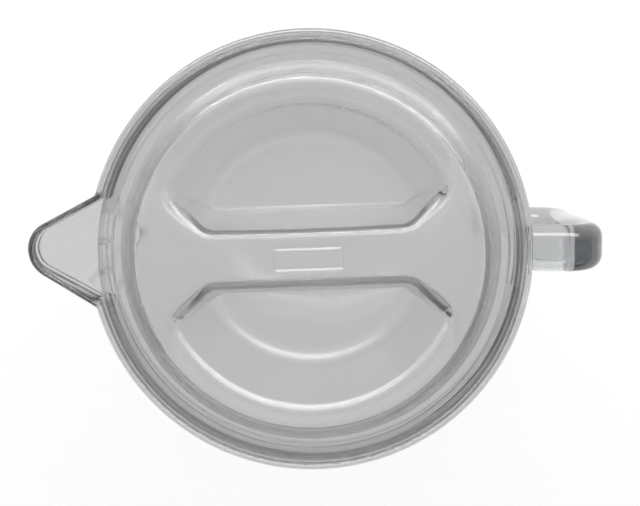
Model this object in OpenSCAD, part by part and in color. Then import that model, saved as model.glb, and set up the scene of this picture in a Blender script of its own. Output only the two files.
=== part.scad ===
// Clear round pitcher with a beak spout, a side handle and a drop-in lid that turns.
// Sizes in millimetres. Z is up, the origin is the centre of the foot on the table,
// the spout points to -X and the handle to +X.

/* [Vessel] */
// Outside diameter of the rim
rim_d = 140; // [134:1:148]
// Height of the rim above the table
vessel_h = 205; // [185:1:230]
// Outside diameter of the foot, where the wall line would meet the table
foot_d = 104; // [96:1:112]
// Wall thickness of the vessel and of the spout
wall = 2.6; // [2.2:0.1:3]
// Thickness of the vessel floor
floor_t = 3; // [2.4:0.1:4]
// Outside radius where the wall turns into the foot
foot_round = 9; // [6:0.5:12]

/* [Collar] */
// Depth from the rim to the ledge that carries the lid
collar_depth = 18; // [17:0.5:21]
// Wall thickness of the collar
collar_wall = 2.2; // [1.8:0.1:2.6]
// Width of the ledge
ledge_w = 2.4; // [2:0.1:2.8]

/* [Spout] */
// Distance from the axis to the end of the lip
spout_reach = 90.5; // [86:0.5:96]
// Outside radius of the lip seen from above
lip_r = 9.3; // [7:0.1:11]
// Half angle of the V seen from above
spout_angle = 28.3; // [24:0.1:32]
// Height of the upright sides of the beak
beak_side = 10; // [6:0.5:14]
// Depth from the rim to the point where the keel meets the wall
keel_depth = 62; // [50:1:75]
// Outside radius of the keel at its foot
keel_r = 4.5; // [4:0.1:6]
// How far the lip lies below the rim
lip_drop = 6; // [2:0.5:9]

/* [Handle] */
// Distance from the axis to the outer face of the grip
handle_reach = 94.7; // [93:0.1:100]
// Thickness of the handle, seen from the side
handle_t = 10.4; // [9.6:0.1:11.4]
// Width of the upper arm
handle_w = 15.2; // [13.5:0.1:17]
// Width of the lower arm
handle_foot_w = 9.8; // [9.6:0.1:12]
// Edge radius of the handle section
handle_edge = 4.7; // [3:0.1:4.7]
// Depth from the rim to the top of the upper arm
arm_drop = 10; // [8:0.5:14]
// Radius of both bends, on the middle line
handle_bend = 9; // [8:0.5:11]
// Length of the straight grip
grip_l = 67; // [60:1:80]
// Lean of the grip towards the foot, in degrees
grip_lean = 0.5; // [0:0.1:3]

/* [Lid] */
// Turn of the lid: 0 strains, 90 is shut, 180 pours freely
lid_angle = 2.2; // [0:0.1:359]
// Gap all round between the lid and the collar
lid_gap = 0.5; // [0.4:0.05:0.7]
// How far the flange lies below the rim
flange_drop = 0.6; // [0.2:0.1:1.2]
// Width of the flange
flange_w = 4.7; // [4:0.1:5.4]
// Width of the moat between flange and plateau
moat_w = 2.4; // [1.8:0.1:3]
// Depth of the moat
moat_h = 1.4; // [0.8:0.1:2]
// Plate thickness of the lid
lid_t = 2.2; // [1.8:0.1:2.4]
// Thickness of the skirt
skirt_t = 2.4; // [2.2:0.1:2.8]
// Height of the middle of the plateau above the rim
crown_h = 13.5; // [11:0.5:16]
// Fall of the plateau from its middle to its edge
crown_fall = 4.2; // [3:0.1:5.5]
// Draft of the riser round the plateau, in degrees
riser_draft = 21; // [15:0.5:27]
// Radius of the plateau's shoulder
shoulder_r = 2.8; // [2.6:0.1:3.4]

/* [Finger recesses] */
// Depth from the rim to the flat recess floor
recess_drop = 11.5; // [10:0.1:13]
// Radius of the flat floor, seen from the lid's middle
recess_flat_r = 34.6; // [31:0.1:37]
// Radius where the sloping outer side ends at the top
ramp_r = 46.8; // [44:0.1:49]
// Depth of the shelf beyond the slope, below the plateau's edge
shelf_drop = 0.9; // [0.6:0.1:1.4]
// Radius of the shelf's outer edge
shelf_r = 51.8; // [50.5:0.1:52.4]
// Width of the grip bar across its top, before its edges are eased
bar_w = 17.2; // [15:0.1:19]
// Straight length of the grip bar
bar_l = 56.8; // [48:0.2:60]
// Draft of the grip bar's sides, in degrees
bar_draft = 11.1; // [8:0.1:13]
// Reach of a slanted recess corner along the bar and along the side
corner_cut = 15.2; // [13.5:0.1:17]
// Radius of the bends at both ends of a slanted corner, at the top of the bar
corner_bend = 8; // [7:0.1:9]
// Height of the eased edge of the bar, at its middle
ease_h = 4.6; // [3:0.1:5.5]
// Draft of the eased edge, in degrees
ease_draft = 25; // [18:1:30]

/* [Marking field] */
// Length of the bare framed field on the bar
field_l = 21.6; // [16:0.2:28]
// Width of the bare framed field
field_w = 7.4; // [5:0.1:9]
// Width of the engraved frame line
field_line = 1; // [0.6:0.1:1.4]
// Depth of the engraved frame line
field_depth = 0.5; // [0.3:0.05:0.8]
// Radius of the gate pad under the bar
gate_r = 4.6; // [3:0.1:5.5]

/* [Pouring] */
// Height of the strainer slots and of the pouring notch
mouth_h = 9.6; // [7:0.2:10.4]
// Half angle of the strainer, in degrees
strainer_angle = 12; // [10:0.5:14]
// Number of strainer slots
slots = 3; // [2:1:4]
// Width of a strainer tooth
tooth_w = 1.4; // [1:0.1:2]
// Half angle of the open pouring notch, in degrees
notch_angle = 12; // [9:0.5:14]
// Angle of the four retaining beads from the line of the bar
bead_angle = 48; // [35:1:60]
// Radius of a retaining bead
bead_r = 1.1; // [0.8:0.1:1.4]

/* [Seal] */
// Depth of the groove that holds the seal
groove_d = 1.2; // [0.9:0.05:1.3]
// Height of the groove
groove_h = 2.8; // [2.2:0.1:3.2]
// Depth from the flange to the top of the groove
groove_drop = 3.2; // [2.8:0.1:3.8]
// Clearance of the seal in its groove and in the collar
seal_fit = 0.1; // [0.06:0.01:0.15]

/* [Hidden] */
$fn = 96;
rim_r = rim_d / 2;
rim_round = collar_wall / 2;
collar_in = rim_r - collar_wall;
ledge_z = vessel_h - collar_depth;
step_z = ledge_z - 4;
foot_rad = foot_d / 2;
taper = atan((collar_in - ledge_w + wall - foot_rad) / ledge_z);
foot_c = foot_rad + foot_round * tan(taper) - foot_round / cos(taper);
inner_round = foot_round - wall;
inner_c = foot_rad - wall / cos(taper) + (floor_t + inner_round) * tan(taper) - inner_round / cos(taper);

lip_c = spout_reach - lip_r;
root_r = lip_r + lip_c * sin(spout_angle);
keel_z = vessel_h - keel_depth;
keel_x = foot_rad + keel_z * tan(taper) - keel_r;
lip_slope = atan(lip_drop / (spout_reach - collar_in));

arm_z = vessel_h - arm_drop - handle_t / 2;
bend_x = handle_reach - handle_t / 2 - handle_bend;
bend_z = arm_z - handle_bend;
grip_x = bend_x + handle_bend * cos(grip_lean);
grip_z = bend_z - handle_bend * sin(grip_lean);
grip_end_x = grip_x - grip_l * sin(grip_lean);
grip_end_z = grip_z - grip_l * cos(grip_lean);
low_x = grip_end_x - handle_bend * cos(grip_lean);
low_z = grip_end_z + handle_bend * sin(grip_lean);

lid_r = collar_in - lid_gap;
skirt_in = lid_r - skirt_t;
flange_z = vessel_h - flange_drop;
moat_z = flange_z - moat_h;
moat_out = lid_r - flange_w;
moat_in = moat_out - moat_w;
crown_z = vessel_h + crown_h;
edge_r = moat_in - 4;
crown_rad = (edge_r * edge_r + crown_fall * crown_fall) / (2 * crown_fall);
crown_c = [0, crown_z - crown_rad];
riser_n = [cos(riser_draft), sin(riser_draft)];
riser_d = [-sin(riser_draft), cos(riser_draft)];
riser_q = [moat_in, moat_z] - shoulder_r * riser_n;
riser_b = riser_d * (riser_q - crown_c);
riser_k = (riser_q - crown_c) * (riser_q - crown_c) - pow(crown_rad - shoulder_r, 2);
shoulder_c = riser_q + riser_d * (sqrt(riser_b * riser_b - riser_k) - riser_b);
shoulder_a = atan2(shoulder_c[1] - crown_c[1], shoulder_c[0]);
crest_r = shoulder_c[0];
crest_z = crown_c[1] + sqrt(crown_rad * crown_rad - crest_r * crest_r);
recess_z = vessel_h - recess_drop;
shelf_z = crest_z - shelf_drop;
over_z = crown_z + 5;
bar_run = tan(bar_draft);
side_x = bar_l / 2 + corner_cut;
corner_y = bar_w / 2 + corner_cut;
ease_z = crown_z - ease_h;
ease_run = tan(ease_draft);
mouth_z = ledge_z + mouth_h;
slot_angle = (2 * strainer_angle - (slots - 1) * tooth_w / lid_r * 180 / PI) / slots;
slot_pitch = slot_angle + tooth_w / lid_r * 180 / PI;
groove_z = flange_z - groove_drop;

// Points of an arc about c, from angle a to angle b.
function arc(c, r, a, b, n = 8) = [for (i = [0 : n]) let (t = a + (b - a) * i / n) c + r * [cos(t), sin(t)]];

// Half section of the lid's top, sunk by t, from the moat to the middle of the plateau.
function lid_curve(t) =
    let (foot = shoulder_c + (shoulder_r - t) * riser_n)
    concat(
        [foot - riser_d * (foot[1] - moat_z + t) / riser_d[1]],
        arc(shoulder_c, shoulder_r - t, riser_draft, shoulder_a, 6),
        arc(crown_c, crown_rad - t, shoulder_a, 90, 12)
    );

// Ring sector between two angles, two radii and two heights.
module sector(a, b, r0, r1, z0, z1) {
    rotate([0, 0, a])
        rotate_extrude(angle = b - a)
            translate([r0, z0])
                square([r1 - r0, z1 - z0]);
}

// Outer form of the vessel, filled: foot, tapering wall, step and collar with a rounded rim.
module vessel_form() {
    rotate_extrude()
        polygon(concat(
            [[0, 0]],
            arc([foot_c, foot_round], foot_round, -90, -taper, 6),
            [[foot_rad + step_z * tan(taper), step_z]],
            [[rim_r, step_z + rim_r - foot_rad - step_z * tan(taper)]],
            arc([rim_r - rim_round, vessel_h - rim_round], rim_round, 0, 90, 4),
            [[0, vessel_h]]
        ));
}

// Space inside the vessel: floor, wall, ledge and collar, flared where the rim is rounded.
module vessel_space() {
    rotate_extrude()
        polygon(concat(
            [[0, floor_t]],
            arc([inner_c, floor_t + inner_round], inner_round, -90, -taper, 6),
            [[foot_rad - wall / cos(taper) + ledge_z * tan(taper), ledge_z]],
            [[collar_in, ledge_z]],
            arc([rim_r - rim_round, vessel_h - rim_round], rim_round, 180, 90, 4),
            [[rim_r - rim_round, vessel_h + 1], [0, vessel_h + 1]]
        ));
}

// Beak sunk by t: an upright V drawn down to a keel on the wall. It reaches up to height top.
module beak(t, top) {
    side_z = vessel_h - lip_drop - beak_side;
    hull() {
        translate([0, 0, side_z])
            cylinder(h = top - side_z, r = root_r - t, $fn = 48);
        translate([-lip_c, 0, side_z])
            cylinder(h = top - side_z, r = lip_r - t, $fn = 48);
        translate([-keel_x, 0, keel_z])
            sphere(r = keel_r - t, $fn = 24);
    }
}

// Vessel, collar and spout in one wall.
module pitcher_body() {
    color([0.86, 0.88, 0.9, 0.45])
        difference() {
            union() {
                vessel_form();
                beak(0, vessel_h);
            }
            vessel_space();
            beak(wall, vessel_h + 1);
            translate([-collar_in, -rim_d, vessel_h])
                rotate([0, -lip_slope, 0])
                    translate([-rim_d, 0, 0])
                        cube([rim_d, 2 * rim_d, rim_d]);
        }
}

// Rounded section of the handle at width w: points across its thickness and its width.
function handle_section(w) = [
    for (k = [0 : 3])
        for (p = arc(
            [
                (k == 0 || k == 3 ? 1 : -1) * (handle_t / 2 - handle_edge),
                (k < 2 ? 1 : -1) * (w / 2 - handle_edge)
            ],
            handle_edge, 90 * k, 90 * k + 90, 5))
            p
];

// Stations along the middle line of the handle: place in X and Z, outward angle and width.
handle_path = concat(
    [[foot_rad - 8, arm_z, 90, handle_w]],
    [for (i = [0 : 8]) let (a = 90 - (90 + grip_lean) * i / 8)
        [bend_x + handle_bend * cos(a), bend_z + handle_bend * sin(a), a, handle_w]],
    [for (i = [1 : 5]) let (f = i / 6)
        [
            grip_x + (grip_end_x - grip_x) * f,
            grip_z + (grip_end_z - grip_z) * f,
            -grip_lean,
            handle_w + (handle_foot_w - handle_w) * f * f * (3 - 2 * f)
        ]],
    [for (i = [0 : 8]) let (a = -grip_lean - (90 - grip_lean) * i / 8)
        [low_x + handle_bend * cos(a), low_z + handle_bend * sin(a), a, handle_foot_w]],
    [[foot_rad - 8, low_z - handle_bend, -90, handle_foot_w]]
);

// Handle: upper arm, bend, grip that narrows downwards, bend and lower arm, cut to the wall it is joined to.
module handle() {
    rings = [
        for (s = handle_path)
            [for (p = handle_section(s[3])) [s[0] + p[0] * cos(s[2]), p[1], s[1] + p[0] * sin(s[2])]]
    ];
    n = len(rings[0]);
    m = len(rings);
    sides = [
        for (i = [0 : m - 2])
            for (j = [0 : n - 1])
                let (k = (j + 1) % n) [i * n + j, i * n + k, i * n + n + k, i * n + n + j]
    ];
    ends = [[for (j = [n - 1 : -1 : 0]) j], [for (j = [0 : n - 1]) (m - 1) * n + j]];
    color([0.8, 0.82, 0.84, 0.6])
        difference() {
            polyhedron(points = [for (r = rings) for (p = r) p], faces = concat(sides, ends), convexity = 4);
            vessel_form();
        }
}

// Corner of an outline moved outwards by t, between faces with normals m and n.
function grown(p, m, n, t) = p + t * (m + n) / (1 + m * n);

// D-shaped plug with slanted corners, past the rim: bend radius r0 at height z0 and r1 at z1, n facets.
module d_plug(z0, r0, z1, r1, n) {
    hull()
        for (side = [-1, 1])
            for (p = [
                [bar_l / 2, bar_w / 2 + corner_bend],
                [side_x - corner_bend, corner_y],
                [side_x - corner_bend, rim_r + 20]
            ])
                translate([side * p[0], p[1], z0])
                    cylinder(h = z1 - z0, r1 = r0, r2 = r1, $fn = n);
}

// Bowl of the recess grown by t: flat floor, sloping side, shelf and a short slope up to the plateau's edge.
module recess_bowl(t) {
    ramp = [ramp_r - recess_flat_r, shelf_z - recess_z];
    ramp_n = [ramp[1], -ramp[0]] / norm(ramp);
    rise_n = [sin(45), -cos(45)];
    down = [0, -1];
    edge = grown([shelf_r, shelf_z], down, rise_n, t);
    rotate_extrude()
        polygon([
            [0, recess_z - t],
            grown([recess_flat_r, recess_z], down, ramp_n, t),
            grown([ramp_r, shelf_z], ramp_n, down, t),
            edge,
            [edge[0] + over_z - edge[1], over_z],
            [0, over_z]
        ]);
}

// One finger recess on the +Y side, grown by t all round: the bowl inside a drafted D with an eased edge.
module recess(t) {
    low_r = corner_bend - (crown_z - recess_z) * bar_run;
    top_r = corner_bend + (over_z - crown_z) * bar_run;
    grow = t / cos(bar_draft);
    ease_r = corner_bend - ease_h * bar_run;
    intersection() {
        union() {
            d_plug(recess_z - t, low_r + grow - t * bar_run, over_z, top_r + grow, 40);
            if (t == 0)
                d_plug(ease_z - 2, ease_r - 2 * ease_run, over_z, ease_r + (over_z - ease_z) * ease_run, 32);
        }
        recess_bowl(t);
    }
}

// Both finger recesses, grown by t.
module recesses(t) {
    recess(t);
    mirror([0, 1, 0])
        recess(t);
}

// Lid: plateau with two recesses, moat, flange and skirt, with strainer, notch, seal groove and beads.
module lid() {
    color([0.84, 0.86, 0.88, 0.55])
        rotate([0, 0, lid_angle]) {
            difference() {
                rotate_extrude()
                    polygon(concat(
                        [[0, ledge_z], [lid_r, ledge_z]],
                        arc([lid_r - 0.8, flange_z - 0.8], 0.8, 0, 90, 4),
                        [[moat_out, flange_z], [moat_out, moat_z]],
                        lid_curve(0)
                    ));
                recesses(0);
                difference() {
                    rotate_extrude()
                        polygon(concat(
                            [[0, ledge_z - 1], [skirt_in, ledge_z - 1], [skirt_in, moat_z - lid_t]],
                            lid_curve(lid_t)
                        ));
                    recesses(lid_t);
                }
                for (i = [0 : slots - 1])
                    rotate([0, 0, 180 - strainer_angle + i * slot_pitch])
                        sector(0, slot_angle, skirt_in - 1, lid_r + 1, ledge_z - 1, mouth_z);
                sector(-notch_angle, notch_angle, skirt_in - 1, lid_r + 1, ledge_z - 1, mouth_z);
                sector(0, 360, lid_r - groove_d, lid_r + 1, groove_z - groove_h, groove_z);
                translate([0, 0, crown_z])
                    difference() {
                        cube([field_l, field_w, 2 * field_depth], center = true);
                        cube([field_l - 2 * field_line, field_w - 2 * field_line, 4], center = true);
                    }
            }
            translate([0, 0, crown_z - lid_t - field_depth])
                cylinder(h = 2 * field_depth, r = gate_r);
            for (a = [bead_angle, 180 - bead_angle, 180 + bead_angle, -bead_angle])
                rotate([0, 0, a])
                    translate([lid_r - bead_r + 0.6 * lid_gap, 0, flange_z - groove_drop + 0.3])
                        cylinder(h = groove_drop - 1.4, r = bead_r, $fn = 32);
        }
}

// Soft ring in the skirt's groove: a flat band with two rounded lips that wipe the collar.
module lid_seal() {
    seal_in = lid_r - groove_d + seal_fit;
    lip = (groove_h - 2 * seal_fit) / 4;
    color([0.93, 0.93, 0.92, 0.9])
        rotate_extrude() {
            translate([seal_in, groove_z - groove_h + seal_fit])
                square([collar_in - seal_fit - lip - seal_in, groove_h - 2 * seal_fit]);
            for (i = [1, 3])
                translate([collar_in - seal_fit - lip, groove_z - groove_h + seal_fit + i * lip])
                    circle(r = lip, $fn = 32);
        }
}

pitcher_body();
handle();
lid();
lid_seal();
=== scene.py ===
import bmesh
import bpy
import numpy as np
from mathutils import Matrix, Vector


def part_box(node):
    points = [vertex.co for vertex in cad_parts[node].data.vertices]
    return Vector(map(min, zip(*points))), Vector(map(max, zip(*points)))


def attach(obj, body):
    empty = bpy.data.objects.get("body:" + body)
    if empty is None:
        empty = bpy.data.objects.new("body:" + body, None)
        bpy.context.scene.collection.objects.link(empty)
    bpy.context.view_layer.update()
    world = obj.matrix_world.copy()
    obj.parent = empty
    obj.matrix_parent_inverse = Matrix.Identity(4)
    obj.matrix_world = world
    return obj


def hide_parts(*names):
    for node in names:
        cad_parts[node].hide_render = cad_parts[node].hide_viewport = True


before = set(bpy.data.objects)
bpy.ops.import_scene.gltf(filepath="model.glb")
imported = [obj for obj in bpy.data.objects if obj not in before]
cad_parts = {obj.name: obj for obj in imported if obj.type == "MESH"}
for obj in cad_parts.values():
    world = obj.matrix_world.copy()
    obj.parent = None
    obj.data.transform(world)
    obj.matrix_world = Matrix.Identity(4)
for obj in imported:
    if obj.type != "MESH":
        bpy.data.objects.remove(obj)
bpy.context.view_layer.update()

# Pitcher body: a clear moulded vessel with a tapering wall, a wider collar with an inner ledge for
# the lid, and a beak spout drawn out of the same wall down to a keel. One injection moulding; it
# stands on its flat foot. All sizes here are in millimetres, the spout points to -X.
body_low, body_high = (np.array(corner) * 1000 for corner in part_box("pitcher_body"))
rim_r = (body_high[1] - body_low[1]) / 2
rim_z = body_high[2]
collar_in, ledge_in, ledge_z, step_z = rim_r - 2.2, rim_r - 4.6, rim_z - 18, rim_z - 22
wall, floor_t, foot_r, foot_round = 2.6, 3.0, 52.0, 9.0
taper = np.arctan((ledge_in + wall - foot_r) / ledge_z)
lip_reach, lip_r, beak_half = -body_low[0], 9.3, np.radians(28.3)
lip_drop, side_z, keel_z, keel_r = 6.0, rim_z - 16, rim_z - 62, 4.5
rim_round, root_soft = 1.1, 0.6
lip_c = lip_reach - lip_r
root_r = lip_r + lip_c * np.sin(beak_half)
keel_x = foot_r + keel_z * np.tan(taper) - keel_r


def moulded_skin(name, grids):
    """One closed skin from several grids of points in millimetres: each grid gives a quad between
    neighbouring rows and columns, points that fall together are merged, faces turn outwards, and
    edges of more than 38 degrees stay sharp."""
    points, quads, start = [], [], 0
    for grid in grids:
        rows, columns = grid.shape[:2]
        index = start + np.arange(rows * columns).reshape(rows, columns)
        corners = (index[:-1, :-1], index[:-1, 1:], index[1:, 1:], index[1:, :-1])
        quads.append(np.stack(corners, -1).reshape(-1, 4))
        points.append(grid.reshape(-1, 3) * 0.001)
        start += rows * columns
    mesh = bpy.data.meshes.new(name)
    mesh.from_pydata(np.concatenate(points).tolist(), [], np.concatenate(quads).tolist())
    work = bmesh.new()
    work.from_mesh(mesh)
    bmesh.ops.remove_doubles(work, verts=work.verts, dist=2e-6)
    bmesh.ops.recalc_face_normals(work, faces=work.faces)
    work.to_mesh(mesh)
    work.free()
    mesh.shade_smooth()
    mesh.set_sharp_from_angle(angle=np.radians(38))
    piece = bpy.data.objects.new(name, mesh)
    bpy.context.scene.collection.objects.link(piece)
    return piece


def section_arc(r, z, radius, start, end, steps):
    """Arc of a half section: centre (r, z) plus the radius times cosine and sine of an angle that
    runs evenly from start to end, in degrees."""
    a = np.radians(np.linspace(start, end, steps + 1))
    return np.stack([r + radius * np.cos(a), z + radius * np.sin(a)], -1)


def section_line(a, b, steps):
    """Even points of a half section from a to b, without b."""
    f = np.linspace(0, 1, steps, endpoint=False)[:, None]
    return np.asarray(a, float) * (1 - f) + np.asarray(b, float) * f


def beak_radius(angle, z, sunk):
    """Distance from the axis to the beak, at an angle from the spout line and a height. Each level
    is a V: a tip circle, and beyond it the straight line that touches the tip and the root circle.
    Both circles shrink evenly from the upright lip down to the keel; sunk gives the inner face."""
    share = np.clip((z - keel_z) / (side_z - keel_z), 0, 1)
    below = np.sqrt(np.clip(1 - ((keel_z - z).clip(0) / keel_r) ** 2, 0, 1))
    keel = (keel_r - sunk) * below
    root_at, root = (1 - share) * keel_x, (1 - share) * keel + share * (root_r - sunk)
    tip_at = (1 - share) * keel_x + share * lip_c
    tip = (1 - share) * keel + share * (lip_r - sunk)
    angle = np.abs(angle)
    flank = (root + root_at * np.sin(beak_half)) / np.cos(np.clip(angle - np.pi / 2 + beak_half, -1.4, 1.4))
    nose = tip_at * np.cos(angle) + np.sqrt(np.clip(tip ** 2 - (tip_at * np.sin(angle)) ** 2, 0, None))
    touch = np.arctan2(tip * np.cos(beak_half), tip_at + tip * np.sin(beak_half))
    return np.where((angle > 0.9) | (z < keel_z - keel_r), 0, np.where(angle < touch, nose, flank))


def vessel_points():
    """Vessel wall as one grid: the half section runs from the middle of the base, up the outside,
    over the rounded rim and down the inside to the middle of the floor, and turns round the axis.
    Outside and inside radii are the soft maximum of the section and the beak; the lip dips."""
    slope, inner_r = np.tan(taper), foot_r - wall / np.cos(taper)
    foot_c = foot_r + foot_round * slope - foot_round / np.cos(taper)
    inner_round = foot_round - wall
    inner_c = inner_r + (floor_t + inner_round) * slope - inner_round / np.cos(taper)
    keel_low = keel_z - 12
    keel_out, keel_in = foot_r + keel_low * slope, inner_r + keel_low * slope
    step_r, collar_low = foot_r + step_z * slope, step_z + rim_r - foot_r - step_z * slope
    ledge_r, rim_low = inner_r + ledge_z * slope, rim_z - rim_round
    outer = np.concatenate([
        section_line([0, 0], [foot_c, 0], 6),
        section_arc(foot_c, foot_round, foot_round, -90, -np.degrees(taper), 12),
        section_line([foot_r + foot_round * slope, foot_round], [keel_out, keel_low], 12)[1:],
        section_line([keel_out, keel_low], [step_r, step_z], 28),
        section_line([step_r, step_z], [rim_r, collar_low], 5),
        section_line([rim_r, collar_low], [rim_r, rim_low], 12),
    ])
    inner = np.concatenate([
        section_line([collar_in, rim_low], [collar_in, ledge_z], 12),
        section_line([collar_in, ledge_z], [ledge_r, ledge_z], 3),
        section_line([ledge_r, ledge_z], [keel_in, keel_low], 28),
        section_line([keel_in, keel_low], [inner_c + inner_round * np.cos(taper),
                                           floor_t + inner_round * (1 - np.sin(taper))], 12),
        section_arc(inner_c, floor_t + inner_round, inner_round, -np.degrees(taper), -90, 12),
        section_line([inner_c, floor_t], [0, floor_t], 6)[1:],
        [[0, floor_t]],
    ])
    angle = np.radians(np.concatenate([np.linspace(-180, -20, 70, endpoint=False), np.linspace(-20, 20, 121),
                                       np.linspace(180, 20, 70, endpoint=False)[::-1]]))

    def spread(section, sunk):
        """Section turned round the axis: half of the sum of wall and beak radius plus the root of
        their squared difference and a squared softness, which fades away from the beak's root."""
        r, z = section[:, :1], np.repeat(section[:, 1:], angle.size, 1)
        beak = beak_radius(angle[None], z, sunk)
        soft = root_soft * np.clip(r / 30, 0, 1) * np.clip((z - 90) / 40, 0, 1)
        soft = soft * np.clip((np.radians(40) - np.abs(angle)) / np.radians(15), 0, 1)
        return np.where(r > 0.1, (r + beak + np.sqrt((r - beak) ** 2 + soft ** 2)) / 2, 0), z

    lip_thins = 0.9 * np.clip((inner[:, 1:] - side_z) / (rim_z - side_z), 0, 1)
    out_r, out_z = spread(outer, 0)
    in_r, in_z = spread(inner, wall - lip_thins)
    turn = np.radians(np.linspace(0, 180, 11))[1:-1, None]
    middle, half = (out_r[-1] + in_r[0]) / 2, (out_r[-1] - in_r[0]) / 2
    r = np.concatenate([out_r, middle + half * np.cos(turn), in_r])
    z = np.concatenate([out_z, rim_low + rim_round * np.sin(turn) + 0 * angle, in_z])
    out = (r * np.cos(angle) - collar_in) / (lip_reach - collar_in)
    z = z - lip_drop * out.clip(0) * np.clip((z - ledge_z) / (rim_z - ledge_z), 0, 1)
    return np.stack([-r * np.cos(angle), -r * np.sin(angle), z], -1)


pitcher_body = moulded_skin("pitcher_body_moulding", [vessel_points()])


def moulded_finish_group():
    """Faint flow waves and handling haze of a moulded clear plastic: slow noise gives the height,
    a second, finer noise moves the roughness between two values."""
    group = bpy.data.node_groups.new("moulded_finish", "ShaderNodeTree")
    for label, usual in (("Wave Scale", 40.0), ("Roughness Low", 0.02), ("Roughness High", 0.06)):
        socket = group.interface.new_socket(label, in_out="INPUT", socket_type="NodeSocketFloat")
        socket.default_value = usual
    group.interface.new_socket("Roughness", in_out="OUTPUT", socket_type="NodeSocketFloat")
    group.interface.new_socket("Height", in_out="OUTPUT", socket_type="NodeSocketFloat")
    nodes, links = group.nodes, group.links
    inside, outside = nodes.new("NodeGroupInput"), nodes.new("NodeGroupOutput")
    place = nodes.new("ShaderNodeTexCoord")
    wave = nodes.new("ShaderNodeTexNoise")
    wave.inputs["Detail"].default_value = 1.5
    haze = nodes.new("ShaderNodeTexNoise")
    haze.inputs["Scale"].default_value = 130
    haze.inputs["Detail"].default_value = 4
    spread = nodes.new("ShaderNodeMapRange")
    spread.inputs["From Min"].default_value = 0.35
    spread.inputs["From Max"].default_value = 0.7
    links.new(place.outputs["Object"], wave.inputs["Vector"])
    links.new(place.outputs["Object"], haze.inputs["Vector"])
    links.new(inside.outputs["Wave Scale"], wave.inputs["Scale"])
    links.new(haze.outputs["Fac"], spread.inputs["Value"])
    links.new(inside.outputs["Roughness Low"], spread.inputs["To Min"])
    links.new(inside.outputs["Roughness High"], spread.inputs["To Max"])
    links.new(spread.outputs["Result"], outside.inputs["Roughness"])
    links.new(wave.outputs["Fac"], outside.inputs["Height"])
    return group


moulded_finish = moulded_finish_group()


def clear_plastic(name, colour, ior, rough, wave_scale, wave_depth, clear=1.0, absorb=None, coat=0):
    """Clear moulded plastic: a transmitting glossy shader, roughness and waves from the finish
    group, a satin coat where the mould is etched, and, given a colour and a density, absorption
    inside the solid so that long paths through it go darker."""
    material = bpy.data.materials.new(name)
    material.use_nodes = True
    nodes, links = material.node_tree.nodes, material.node_tree.links
    shader = nodes["Principled BSDF"]
    shader.inputs["Base Color"].default_value = (*colour, 1)
    shader.inputs["IOR"].default_value = ior
    shader.inputs["Transmission Weight"].default_value = clear
    shader.inputs["Coat Weight"].default_value = coat
    shader.inputs["Coat Roughness"].default_value = 0.4
    shader.inputs["Coat IOR"].default_value = 1.5
    finish = nodes.new("ShaderNodeGroup")
    finish.node_tree = moulded_finish
    finish.inputs["Wave Scale"].default_value = wave_scale
    finish.inputs["Roughness Low"].default_value = rough[0]
    finish.inputs["Roughness High"].default_value = rough[1]
    bump = nodes.new("ShaderNodeBump")
    bump.inputs["Strength"].default_value = 1.0
    bump.inputs["Distance"].default_value = wave_depth
    links.new(finish.outputs["Roughness"], shader.inputs["Roughness"])
    links.new(finish.outputs["Height"], bump.inputs["Height"])
    links.new(bump.outputs["Normal"], shader.inputs["Normal"])
    if absorb:
        inside = nodes.new("ShaderNodeVolumeAbsorption")
        inside.inputs["Color"].default_value = (*absorb[0], 1)
        inside.inputs["Density"].default_value = absorb[1]
        links.new(inside.outputs["Volume"], nodes["Material Output"].inputs["Volume"])
    return material


vessel_plastic = clear_plastic("clear_vessel_plastic", (0.97, 0.975, 0.98), ior=1.5, rough=(0.05, 0.09),
                               wave_scale=35, wave_depth=0.00006)
pitcher_body.data.materials.append(vessel_plastic)
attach(pitcher_body, "pitcher")
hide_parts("pitcher_body")

# Handle: a solid clear bar with rounded edges, bent into a square loop and narrowing downwards. It
# is joined to the vessel wall at two lands, one under the collar and one low on the wall.
handle_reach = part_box("handle")[1].x * 1000
handle_t, handle_w, handle_foot_w, handle_edge = 10.4, 15.2, 9.8, 4.7
handle_bend, grip_l, grip_lean = 9.0, 67.0, np.radians(0.5)
arm_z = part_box("handle")[1].z * 1000 - handle_t / 2


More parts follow.
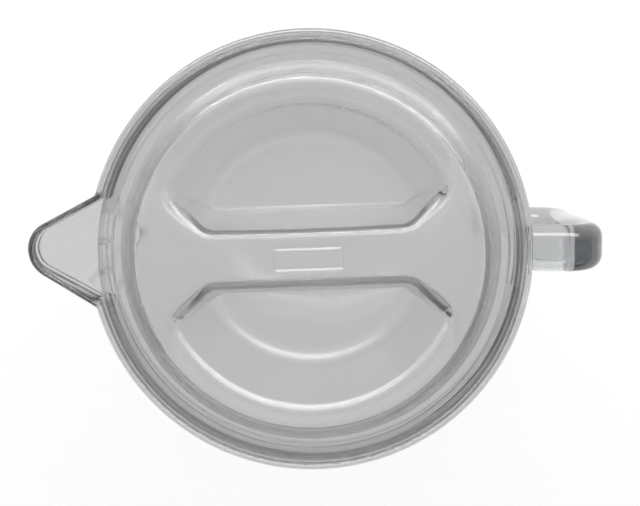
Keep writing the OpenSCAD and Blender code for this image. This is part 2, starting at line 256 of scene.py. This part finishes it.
def handle_points():
    """Handle as a section carried along a path: a rounded rectangle, across the thickness and the
    width, on a middle line of arm, bend, leaning grip, bend and arm. Both arms are drawn out evenly
    to the wall, half a millimetre into it, and their ends are closed."""
    bend_x, bend_z = handle_reach - handle_t / 2 - handle_bend, arm_z - handle_bend
    grip = np.array([bend_x + handle_bend * np.cos(grip_lean), bend_z - handle_bend * np.sin(grip_lean)])
    end = grip - grip_l * np.array([np.sin(grip_lean), np.cos(grip_lean)])
    low = end - handle_bend * np.array([np.cos(grip_lean), -np.sin(grip_lean)])
    upper = np.linspace(np.pi / 2, -grip_lean, 29)
    lower = np.linspace(-grip_lean, -np.pi / 2, 29)
    along, arm = np.linspace(0, 1, 26)[1:-1], np.linspace(0, 1, 10)[:-1]
    x = np.concatenate([
        bend_x + 0 * arm, bend_x + handle_bend * np.cos(upper), grip[0] + (end - grip)[0] * along,
        low[0] + handle_bend * np.cos(lower), low[0] + 0 * arm,
    ])
    z = np.concatenate([
        arm_z + 0 * arm, bend_z + handle_bend * np.sin(upper), grip[1] + (end - grip)[1] * along,
        low[1] + handle_bend * np.sin(lower), low[1] - handle_bend + 0 * arm,
    ])
    lean = np.concatenate([np.pi / 2 + 0 * arm, upper, -grip_lean + 0 * along, lower, -np.pi / 2 + 0 * arm])
    ease = np.concatenate([0 * arm, 0 * upper, along ** 2 * (3 - 2 * along), 1 + 0 * lower, 1 + 0 * arm])
    width = handle_w + (handle_foot_w - handle_w) * ease
    turn = np.radians(np.concatenate([np.linspace(90 * k, 90 * k + 90, 10) for k in range(4)] + [[0]]))
    corner_t = np.repeat([1, -1, -1, 1, 1], [10, 10, 10, 10, 1])
    corner_w = np.repeat([1, 1, -1, -1, 1], [10, 10, 10, 10, 1])
    thick = corner_t * (handle_t / 2 - handle_edge) + handle_edge * np.cos(turn)
    wide = corner_w * (width[:, None] / 2 - handle_edge) + handle_edge * np.sin(turn)
    px = x[:, None] + thick * np.cos(lean)[:, None]
    pz = z[:, None] + thick * np.sin(lean)[:, None]
    face_r = foot_r + np.minimum(pz, step_z) * np.tan(taper) + np.clip(pz - step_z, 0, 2.3) - 0.5
    out = np.concatenate([arm, np.ones(x.size - 2 * arm.size), arm[::-1]])[:, None]
    px = px * out + np.sqrt(face_r ** 2 - wide ** 2) * (1 - out)
    skin = np.stack([px, wide, pz], -1)
    ends = skin[[0, -1]]
    f = np.array([1.0, 0.5, 0.0])[:, None, None, None]
    caps = ends * f + ends.mean(1, keepdims=True) * (1 - f)
    return [skin, caps[:, 0], caps[:, 1]]


handle = moulded_skin("handle_moulding", handle_points())
handle_plastic = clear_plastic("clear_handle_plastic", (0.88, 0.885, 0.89), ior=1.52, rough=(0.02, 0.06),
                               wave_scale=60, wave_depth=0.00008, clear=0.94,
                               absorb=((0.5, 0.52, 0.54), 34))
handle.data.materials.append(handle_plastic)
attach(handle, "pitcher")
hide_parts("handle")

# Lid: one translucent moulding. Two bowl-shaped finger recesses with flat floors leave a grip bar
# across a domed plateau; round it run a moat, a flange and a skirt with a strainer towards the spout,
# a pouring notch towards the handle and four small retaining beads. It drops into the collar.
lid_r = (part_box("lid")[1].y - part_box("lid")[0].y) * 500
lid_turn, lid_t, skirt_t = np.radians(2.2), 2.2, 2.4
flange_z, moat_out, moat_in, moat_z = rim_z - 0.6, lid_r - 4.7, lid_r - 7.1, rim_z - 2.0
crown_z, crown_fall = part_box("lid")[1].z * 1000, 4.2
crown_rad = ((moat_in - 4) ** 2 + crown_fall ** 2) / (2 * crown_fall)
riser_draft, shoulder_r = np.radians(21), 2.8
recess_z, recess_flat_r, ramp_r, shelf_drop, shelf_r = rim_z - 11.5, 35.9, 46.8, 0.4, 51.8
bar_half_w, bar_half_l, bar_run = 8.6, 28.4, np.tan(np.radians(11.1))
corner_cut, corner_bend = 15.2, 8.0
skirt_low, mouth_z = ledge_z + 0.15, ledge_z + 9.6
groove_high, groove_low, groove_d = flange_z - 3.2, flange_z - 6.0, 1.2
field_half, field_line, field_depth = np.array([10.3, 3.2]), 1.3, 0.4
notch_half, slot_edge, tooth_edge, strainer_half = 12.0, 3.603, 4.795, 12.0
bead_at, bead_r = 48.0, 1.1

# The shoulder's circle touches the riser's line on one side and the dome's circle from inside.
riser_n = np.array([np.cos(riser_draft), np.sin(riser_draft)])
riser_d = np.array([-np.sin(riser_draft), np.cos(riser_draft)])
crown_c = np.array([0, crown_z - crown_rad])
riser_q = np.array([moat_in, moat_z]) - shoulder_r * riser_n
riser_b = riser_d @ (riser_q - crown_c)
shoulder_c = riser_q + riser_d * (np.sqrt(riser_b ** 2 - (riser_q - crown_c) @ (riser_q - crown_c)
                                          + (crown_rad - shoulder_r) ** 2) - riser_b)
shoulder_a = np.degrees(np.arctan2(shoulder_c[1] - crown_c[1], shoulder_c[0]))
plateau_r = crown_rad * np.cos(np.radians(shoulder_a))


def plateau_section(sunk):
    """Half section of the plateau from its middle outwards: dome, shoulder and drafted riser, moved
    inwards by the sunk distance."""
    dome = section_arc(*crown_c, crown_rad - sunk, 90, shoulder_a, 40)[:-1]
    shoulder = section_arc(*shoulder_c, shoulder_r - sunk, shoulder_a, np.degrees(riser_draft), 8)
    foot = shoulder[-1] - riser_d * (shoulder[-1][1] - moat_z + sunk) / riser_d[1]
    return np.concatenate([dome, shoulder, [foot]])


def plateau_height(r, sunk):
    """Height of the plateau at a radius, read from its half section."""
    section = plateau_section(sunk)
    return np.interp(r, section[:, 0], section[:, 1])


shelf_z = plateau_height(shoulder_c[0], 0) - shelf_drop


def bowl_section(sunk):
    """Half section of a recess, outwards: flat floor, sloping side, shelf and a short slope of 45
    degrees, all moved outwards by the sunk distance. Each corner is eased by a quadratic curve that
    starts and ends at the same distance from it."""
    down, rise_n = np.array([0, -1.0]), np.array([1, -1]) / np.sqrt(2)
    ramp_n = np.array([shelf_z - recess_z, recess_flat_r - ramp_r])
    ramp_n = ramp_n / np.linalg.norm(ramp_n)

    def grown(r, z, m, n):
        """Corner moved out by the sunk distance from both of its sides, whose normals are m and n."""
        return np.array([r, z]) + sunk * (m + n) / (1 + m @ n)

    edge = grown(shelf_r, shelf_z, down, rise_n)
    corners = np.array([[0, recess_z - sunk], grown(recess_flat_r, recess_z, down, ramp_n),
                        grown(ramp_r, shelf_z, ramp_n, down), edge, edge + 10])
    ease = np.array([4.0, 2.0, 0.5])[:, None]
    before, middle, after = corners[:-2], corners[1:-1], corners[2:]
    start = middle + (before - middle) * ease / np.linalg.norm(before - middle, axis=-1)[:, None]
    end = middle + (after - middle) * ease / np.linalg.norm(after - middle, axis=-1)[:, None]
    f = np.linspace(0, 1, 11)[:, None]
    curves = (1 - f) ** 2 * start[:, None] + 2 * f * (1 - f) * middle[:, None] + f ** 2 * end[:, None]
    return np.concatenate([corners[:1], curves.reshape(-1, 2), corners[-1:]])


def bowl_height(r, sunk):
    """Height of a recess at a radius, read from its half section."""
    section = bowl_section(sunk)
    return np.interp(r, section[:, 0], section[:, 1])


# Columns of one half of the lid, from the bar round by the notch, the arc and the strainer: places on
# the bar in millimetres, shares of the way to the edge, and angles in degrees.
tip_angle = 35.8
bar_x = np.array([0, 3, 6, 8.5, 9.55, 9.65, 10.3, 10.95, 11.05, 13, 16, 19, 22, 25, 28.4])
bar_x = np.concatenate([-bar_x[:0:-1], bar_x])
turn_share = np.linspace(0, 1, 19)[1:]
line_share = np.concatenate([np.linspace(0, 0.92, 14)[1:], [0.937, 0.952, 0.966, 0.981, 1]])
past_mouth = np.array([17.5, 20, 22.5, 25, 27.5, 30, 32, 34, tip_angle])
notch_side = np.concatenate([[0, 4, 8, notch_half, notch_half, 14.5], past_mouth])
notch_open = np.arange(notch_side.size) < 4
strainer_side = np.concatenate([[0, 1.8, slot_edge, slot_edge, tooth_edge, tooth_edge, 8.4],
                                [strainer_half, strainer_half, 14.5], past_mouth])
strainer_open = np.isin(np.arange(strainer_side.size), (0, 1, 2, 5, 6, 7))
bead_steps = np.array([-0.66, -0.6, -0.45, -0.25, 0, 0.25, 0.45, 0.6, 0.66])
arc_side = np.concatenate([[36.6, 37.6, 39, 41, 43, 45, 46.8], bead_at + bead_steps, np.arange(50, 89, 2.5)])
arc_angle = np.concatenate([arc_side, [90], 180 - arc_side[::-1]])
column_parts = (bar_x.size, turn_share.size, notch_side.size - 1, arc_angle.size, strainer_side.size - 1)
column_cuts = np.cumsum(column_parts)
on_arc = (np.arange(column_cuts[-1] + turn_share.size) >= column_cuts[2])
on_arc &= (np.arange(on_arc.size) < column_cuts[3])


def on_circle(radius, degrees):
    """Points of a circle about the lid's axis."""
    a = np.radians(degrees)
    return radius * np.stack([np.cos(a), np.sin(a)], -1)


def outline_start(edge):
    """Where the columns of one half of the lid start: along the middle line out to the edge circle,
    then round the circle from the notch side to the strainer side."""
    line = bar_half_l + (edge - bar_half_l) * line_share
    return np.concatenate([
        np.stack([bar_x, 0 * bar_x], -1), np.stack([line, 0 * line], -1), on_circle(edge, notch_side[1:]),
        on_circle(edge, arc_angle), on_circle(edge, 180 - strainer_side[:0:-1]),
        np.stack([-line[::-1], 0 * line], -1),
    ])


def recess_outline(inset, arc_r):
    """The D of one recess as columns, each moved inwards by its own inset: the bar's edge, two slanted
    corners with a bend at either end, straight sides up to the tips, and the outer arc between them."""
    low_c = np.array([bar_half_l, bar_half_w + corner_bend])
    side_c = np.array([bar_half_l + corner_cut - corner_bend, bar_half_w + corner_cut])
    bar_i, turn_i, right_i, _, left_i, back_i = np.split(inset, column_cuts)

    def corner(part, angle, along):
        """Point of a slanted corner: its bend's circle, at an angle, moved along the slant."""
        a, radius = np.radians(angle), corner_bend - part
        circle = np.stack([radius * np.cos(a), radius * np.sin(a)], -1)
        return low_c + (side_c - low_c) * along[:, None] + circle

    def bend(part, share):
        """First half of a corner: an eighth of a turn off the bar, then half of the slant."""
        return corner(part, -90 + 45 * np.clip(share / 0.6, 0, 1), 0.5 * np.clip((share - 0.6) / 0.4, 0, 1))

    def climb(part, share):
        """Second half: the rest of the slant, an eighth of a turn, then straight up to the tip."""
        tip_x = side_c[0] + corner_bend - part[-1]
        up = np.clip((share - 0.65) / 0.35, 0, 1) * (np.sqrt(arc_r ** 2 - tip_x ** 2) - side_c[1])
        angle = -45 + 45 * np.clip((share - 0.3) / 0.35, 0, 1)
        return corner(part, angle, 0.5 + 0.5 * np.clip(share / 0.3, 0, 1)) + np.stack([0 * up, up], -1)

    right = climb(right_i, notch_side[1:] / tip_angle)
    left = climb(left_i[::-1], strainer_side[1:] / tip_angle) * [-1, 1]
    first, last = (np.degrees(np.arctan2(tip[1], tip[0])) for tip in (right[-1], left[-1]))
    along = (arc_angle - tip_angle) / (180 - 2 * tip_angle)
    return np.concatenate([
        np.stack([bar_x, bar_half_w + bar_i], -1), bend(turn_i, turn_share), right,
        on_circle(arc_r, first + (last - first) * along), left[::-1],
        (bend(back_i[::-1], turn_share) * [-1, 1])[::-1],
    ])


def lid_half(sunk):
    """One half of the lid's plateau with its recess, as a grid at a depth below the outer face. Along a
    column run the plateau, a rounded edge, the drafted wall, a rounded foot and the bowl, whose rows
    keep to set radii and close in one point. The engraved frame lowers its own band of the plateau."""
    grow = sunk / np.cos(np.arctan(bar_run))
    if sunk:
        r = np.linspace(52.8, 54.4, 800)
        slope_r, slope_z = bowl_section(sunk)[-1]
        arc_top = r[np.argmin(np.abs(plateau_height(r, sunk) - slope_z + slope_r - r))]
        edge, arc_low = 55.3, arc_top - 0.35
    else:
        edge, arc_top, arc_low = plateau_r, shelf_r + 1.05, shelf_r + 0.5
    start = outline_start(edge)

    def settle(height_of, arc_r):
        """Line where the drafted wall meets a height: its inset follows from the height, and the
        height from the place, so both are worked out in turns until they rest."""
        inset = np.zeros(on_arc.size)
        for _ in range(40):
            plan = recess_outline(inset, arc_r)
            z = height_of(np.linalg.norm(plan, axis=-1), sunk)
            inset = 0.5 * inset + 0.5 * np.where(on_arc, 0, (crown_z - z) * bar_run - grow)
        return np.concatenate([plan, z[:, None]], -1)

    top, foot = settle(plateau_height, arc_top), settle(bowl_height, arc_low)
    reach = np.linalg.norm(foot - top, axis=-1)[:, None]
    back = start - top[:, :2]
    back_l = np.linalg.norm(back, axis=-1)[:, None]
    turn_n, notch_n, strainer_n = turn_share.size, notch_side.size, strainer_side.size
    if sunk == 0:
        fades = [column_cuts[1] + 0.3 * notch_n, column_cuts[2] + 1,
                 column_cuts[3] - 1, column_cuts[3] + 0.7 * strainer_n]
    else:
        fades = [column_cuts[0] + 0.5 * turn_n, column_cuts[1] + 0.5 * notch_n,
                 column_cuts[3] + 0.5 * strainer_n, column_cuts[4] + 0.5 * turn_n]
    column = np.arange(on_arc.size)
    soft = np.interp(column, fades, [0, 1, 1, 0])[:, None]
    soft = soft * soft * (3 - 2 * soft)
    corner_ends = [column_cuts[0], column_cuts[1], column_cuts[3] + strainer_n - 1, on_arc.size]
    wide = np.interp(column, corner_ends, [0, 1, 1, 0])[:, None]
    roll = 2.6 + 1.8 * wide if sunk == 0 else 0.8 + 1.6 * wide
    brim = top[:, :2] + back * np.minimum(roll, 0.9 * back_l) / back_l
    below = top + (foot - top) * np.minimum(roll, 0.45 * reach) / reach
    low_round = 1.0 + 1.6 * soft
    above = foot + (top - foot) * np.minimum(low_round, 0.45 * reach) / reach
    floor_c = np.array([0, 28.0])
    inward = floor_c - foot[:, :2]
    flat = foot[:, :2] + inward * low_round / np.linalg.norm(inward, axis=-1)[:, None]

    shares = np.array((0, 0.2, 0.3952, 0.4113, 0.5161, 0.6210, 0.6371, 0.8, 1) if sunk == 0 else
                      (0, 0.015, 0.03, 0.045, 0.06, 0.08, 0.1, 0.14, 0.25, 0.5, 0.75, 1))[:, None, None]
    plan = start + (brim - start) * shares
    z = plateau_height(np.linalg.norm(plan, axis=-1), sunk)
    if sunk == 0:
        off_line = np.abs(np.max(np.abs(plan) - field_half, axis=-1))
        z = z - field_depth * np.clip(1 - off_line * 2 / field_line, 0, 1)
    rows = [np.concatenate([plan, z[..., None]], -1)]
    f = np.linspace(0, 1, 9)[1:, None, None]
    flat_z = bowl_height(np.linalg.norm(flat, axis=-1), sunk)[:, None]
    step = np.concatenate([
        (1 - f) ** 2 * rows[0][-1] + 2 * f * (1 - f) * top + f ** 2 * below,
        below + (above - below) * np.linspace(0, 1, 6)[1:, None, None],
        (1 - f) ** 2 * above + 2 * f * (1 - f) * foot + f ** 2 * np.concatenate([flat, flat_z], -1),
    ])
    f = np.linspace(0, 1, len(step) + 1)[1:, None, None]
    plan = brim + (flat - brim) * f
    r, f = np.linalg.norm(plan, axis=-1)[..., None], f * f * (3 - 2 * f)
    low = np.minimum(bowl_height(r, sunk), shelf_z - sunk)
    ease = np.concatenate([plan, plateau_height(r, sunk) * (1 - f) + low * f], -1)
    rows.append(step + (ease - step) * soft)
    levels = np.array([51.95, 51.7, 51.4, 51, 50.3, 49.3, 48.3, 47.9, 47.5, 47.1, 46.8, 46.5, 46.1, 45.7,
                       45.2, 44, 42.4, 40.8, 39.4, 38.4, 37.6, 36.8, 36.2, 35.6, 35, 34.6, 34, 33.4,
                       32.8, 32.2, 31.6, 31])[:, None]
    levels = levels + bowl_section(sunk)[6, 0] - bowl_section(0)[6, 0]
    line = floor_c - flat
    line_2, dot = (line ** 2).sum(-1), (flat * line).sum(-1)
    under_root = np.clip(dot ** 2 - line_2 * ((flat ** 2).sum(-1) - levels ** 2), 0, None)
    f = np.where(levels < np.linalg.norm(flat, axis=-1), (-dot - np.sqrt(under_root)) / line_2, 0).clip(0, 1)
    f = np.concatenate([f, f[-1] + (1 - f[-1]) * np.linspace(0, 1, 8)[1:, None]])[..., None]
    plan = flat + line * f
    rows.append(np.concatenate([plan, bowl_height(np.linalg.norm(plan, axis=-1), sunk)[..., None]], -1))
    grid = np.concatenate(rows)
    return np.concatenate([grid, grid[:, :1]], 1), edge


def lid_ring(top_edge, low_edge):
    """The lid from the plateau's edge outwards as one grid: the half section of shoulder, riser, moat,
    flange and skirt turns round the axis and comes back underneath. The skirt's lower edge jumps up
    over the strainer slots and the notch, and the outside swells over the four beads."""
    half_angle = np.concatenate([notch_side, arc_angle, 180 - strainer_side[::-1]])
    half_open = np.concatenate([notch_open, np.zeros(arc_angle.size, bool), strainer_open[::-1]])
    angle = np.concatenate([half_angle, 360 - half_angle[::-1]])
    is_open = np.concatenate([half_open, half_open[::-1]])
    section = plateau_section(0)
    skirt_in, under_z = lid_r - skirt_t, moat_z - lid_t
    riser_foot = plateau_section(lid_t)[-1]
    low_end = np.array([low_edge, plateau_height(low_edge, lid_t)])
    above = np.concatenate([
        [[top_edge, plateau_height(top_edge, 0)]], section[section[:, 0] > top_edge + 1e-6],
        [[moat_in + 0.8, moat_z], [moat_out - 0.3, moat_z], [moat_out, moat_z + 0.3]],
        [[moat_out, flange_z - 0.3], [moat_out + 0.3, flange_z]],
        section_arc(lid_r - 0.8, flange_z - 0.8, 0.8, 90, 0, 6)[:-1],
    ])
    outside = np.stack([np.full(6, lid_r), flange_z - np.array([0.8, 1.1, 1.4, 2.0, 2.6, 2.9])], -1)
    groove_r = lid_r - groove_d
    groove = np.array([[lid_r, groove_high], [groove_r, groove_high],
                       [groove_r, groove_low], [lid_r, groove_low]])
    inside = np.concatenate([
        [[lid_r, skirt_low], [skirt_in, skirt_low]], section_line([skirt_in, under_z], riser_foot, 4),
        section_line(riser_foot, low_end, 5), [low_end],
    ])
    section = np.concatenate([above, outside, groove, inside])
    r, z = (np.repeat(section[:, k:k + 1], angle.size, 1) for k in (0, 1))
    off = np.radians(np.abs((angle + 90) % 180 - 90) - bead_at)
    bead_c = lid_r - bead_r + 0.3
    swell = bead_c * np.cos(off) + np.sqrt(np.clip(bead_r ** 2 - (bead_c * np.sin(off)) ** 2, 0, None))
    bead_rows = slice(len(above) + 2, len(above) + 5)
    r[bead_rows] = np.maximum(r[bead_rows], np.where(np.abs(bead_c * np.sin(off)) < bead_r, swell, 0))
    low = len(above) + len(outside) + len(groove)
    z[low:low + 2] = np.where(is_open, mouth_z, skirt_low)
    a = np.radians(angle)
    return np.stack([r * np.cos(a), r * np.sin(a), z], -1)


def turned(grids, by):
    """Grids turned about the vertical axis by an angle."""
    c, s = np.cos(by), np.sin(by)
    return [grid @ np.array([[c, s, 0], [-s, c, 0], [0, 0, 1]]) for grid in grids]


(outer_half, top_edge), (inner_half, low_edge) = lid_half(0), lid_half(lid_t)
mirrored = np.array([1, -1, 1])
lid_grids = [outer_half, outer_half * mirrored, inner_half, inner_half * mirrored]
lid_grids.append(lid_ring(top_edge, low_edge))
lid = moulded_skin("lid_moulding", turned(lid_grids, lid_turn))
lid_plastic = clear_plastic("clear_lid_plastic", (0.95, 0.95, 0.95), ior=1.42, rough=(0.13, 0.16),
                            wave_scale=30, wave_depth=0.00006, absorb=((0.5, 0.5, 0.5), 20), coat=1)
lid.data.materials.append(lid_plastic)
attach(lid, "lid")
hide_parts("lid")

# Seal: a soft pale ring stretched into the groove of the skirt. Two rounded lips wipe the collar,
# so the lid turns and lifts with a light grip.
seal_gap = 0.1
seal_in, seal_out = lid_r - groove_d + seal_gap, collar_in - seal_gap
seal_low, seal_high = groove_low + seal_gap, groove_high - seal_gap


def seal_points():
    """Seal ring: a flat band whose outside carries two half circles, turned round the axis."""
    lip = (seal_high - seal_low) / 4
    section = np.concatenate([
        [[seal_in, seal_low]], section_arc(seal_out - lip, seal_low + lip, lip, -90, 90, 8),
        section_arc(seal_out - lip, seal_low + 3 * lip, lip, -90, 90, 8),
        [[seal_in, seal_high], [seal_in, seal_low]],
    ])
    a = np.linspace(0, 2 * np.pi, 181)
    r, z = section[:, :1], np.repeat(section[:, 1:], a.size, 1)
    return np.stack([r * np.cos(a), r * np.sin(a), z], -1)


seal = moulded_skin("seal_ring", [seal_points()])
seal_rubber = clear_plastic("soft_seal_rubber", (0.97, 0.97, 0.96), ior=1.42, rough=(0.06, 0.12),
                            wave_scale=200, wave_depth=0.00001)
seal.data.materials.append(seal_rubber)
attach(seal, "seal")
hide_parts("lid_seal")

# Floor and light: a plain white sweep, a pale room that dims towards the near side, and one large soft
# panel on the far side. The floor shows white to the camera and in reflections, keeps a part of the
# object's shadow, and looks pale grey through the clear plastic.
white_share, through_share, through_glow = 0.88, 0.95, 0.6
floor_mesh = bpy.data.meshes.new("floor")
floor_corners = [(-6, -6, -0.0004), (6, -6, -0.0004), (6, 6, -0.0004), (-6, 6, -0.0004)]
floor_mesh.from_pydata(floor_corners, [], [(0, 1, 2, 3)])
floor = bpy.data.objects.new("floor", floor_mesh)
bpy.context.scene.collection.objects.link(floor)
floor_white = bpy.data.materials.new("white_floor")
floor_white.use_nodes = True
nodes, links = floor_white.node_tree.nodes, floor_white.node_tree.links
nodes.remove(nodes["Principled BSDF"])
matt, glow = nodes.new("ShaderNodeBsdfDiffuse"), nodes.new("ShaderNodeEmission")
mix, rays = nodes.new("ShaderNodeMixShader"), nodes.new("ShaderNodeLightPath")
matt.inputs["Color"].default_value = (0.93, 0.93, 0.93, 1)
glow.inputs["Color"].default_value = (1, 1, 1, 1)


def ray_maths(operation, first, second, third=None):
    """Math node of an operation; an input is another node's output or a plain number."""
    node = nodes.new("ShaderNodeMath")
    node.operation = operation
    for socket, value in zip(node.inputs, (first, second, third)):
        if isinstance(value, bpy.types.NodeSocket):
            links.new(value, socket)
        elif value is not None:
            socket.default_value = value
    return node.outputs[0]


through = rays.outputs["Is Transmission Ray"]
seen = ray_maths("MAXIMUM", rays.outputs["Is Camera Ray"], rays.outputs["Is Glossy Ray"])
seen_part = ray_maths("MULTIPLY", seen, white_share)
through_part = ray_maths("MULTIPLY", through, through_share)
links.new(ray_maths("MAXIMUM", seen_part, through_part), mix.inputs["Fac"])
links.new(ray_maths("MULTIPLY_ADD", through, through_glow - 1, 1.0), glow.inputs["Strength"])
links.new(matt.outputs[0], mix.inputs[1])
links.new(glow.outputs[0], mix.inputs[2])
links.new(mix.outputs[0], nodes["Material Output"].inputs["Surface"])
floor.data.materials.append(floor_white)

near_dim, far_bright = (-0.45, 0.08), (0.55, 0.95)
room = bpy.data.worlds.new("pale_room")
room.use_nodes = True
nodes, links = room.node_tree.nodes, room.node_tree.links
facing, split = nodes.new("ShaderNodeTexCoord"), nodes.new("ShaderNodeSeparateXYZ")
fade, backdrop = nodes.new("ShaderNodeMapRange"), nodes["Background"]
fade.inputs["From Min"].default_value, fade.inputs["To Min"].default_value = near_dim
fade.inputs["From Max"].default_value, fade.inputs["To Max"].default_value = far_bright
backdrop.inputs["Color"].default_value = (1, 1, 1, 1)
links.new(facing.outputs["Generated"], split.inputs[0])
links.new(split.outputs["Y"], fade.inputs["Value"])
links.new(fade.outputs["Result"], backdrop.inputs["Strength"])
bpy.context.scene.world = room

lamp = bpy.data.lights.new("far_panel", "AREA")
lamp.shape, lamp.energy = "RECTANGLE", 32
lamp.size, lamp.size_y = 2.4, 0.6
far_panel = bpy.data.objects.new("far_panel", lamp)
far_panel.location = (0.1, 0.95, 1.1)
far_panel.rotation_euler = (Vector((0, 0, 0.15)) - far_panel.location).to_track_quat("-Z", "Y").to_euler()
bpy.context.scene.collection.objects.link(far_panel)

# Camera: half a metre above the rim and almost straight down on the lid, leaning a little towards the
# far side. The focal length is in pixels of a picture 640 wide.
focal_pixels, picture_width, distance = 1592, 640, 0.5
rim_centre = np.array([0, 0, rim_z * 0.001])
lean = np.radians(7.5)
eye = rim_centre + distance * np.array([0.26 * np.sin(lean), 0.966 * np.sin(lean), np.cos(lean)])
aim_at = rim_centre + np.array([0.0031, 0, 0])
look = (aim_at - eye) / np.linalg.norm(aim_at - eye)
right = np.cross(look, [0, 1, 0])
right /= np.linalg.norm(right)
camera_data = bpy.data.cameras.new("photo_camera")
camera_data.sensor_fit, camera_data.sensor_width = "HORIZONTAL", 36
camera_data.lens = focal_pixels / picture_width * 36
camera_data.clip_start, camera_data.clip_end = 0.01, 20
camera = bpy.data.objects.new("photo_camera", camera_data)
pose = np.eye(4)
pose[:3, 0], pose[:3, 1], pose[:3, 2], pose[:3, 3] = right, np.cross(right, look), -look, eye
camera.matrix_world = Matrix(pose.tolist())
bpy.context.scene.collection.objects.link(camera)
bpy.context.scene.camera = camera
bpy.context.scene.view_settings.view_transform = "Standard"

# Light passes many clear walls here, so the paths are long enough for all of them.
bpy.context.scene.cycles.max_bounces = 32
bpy.context.scene.cycles.transmission_bounces = 32
bpy.context.scene.cycles.glossy_bounces = 32
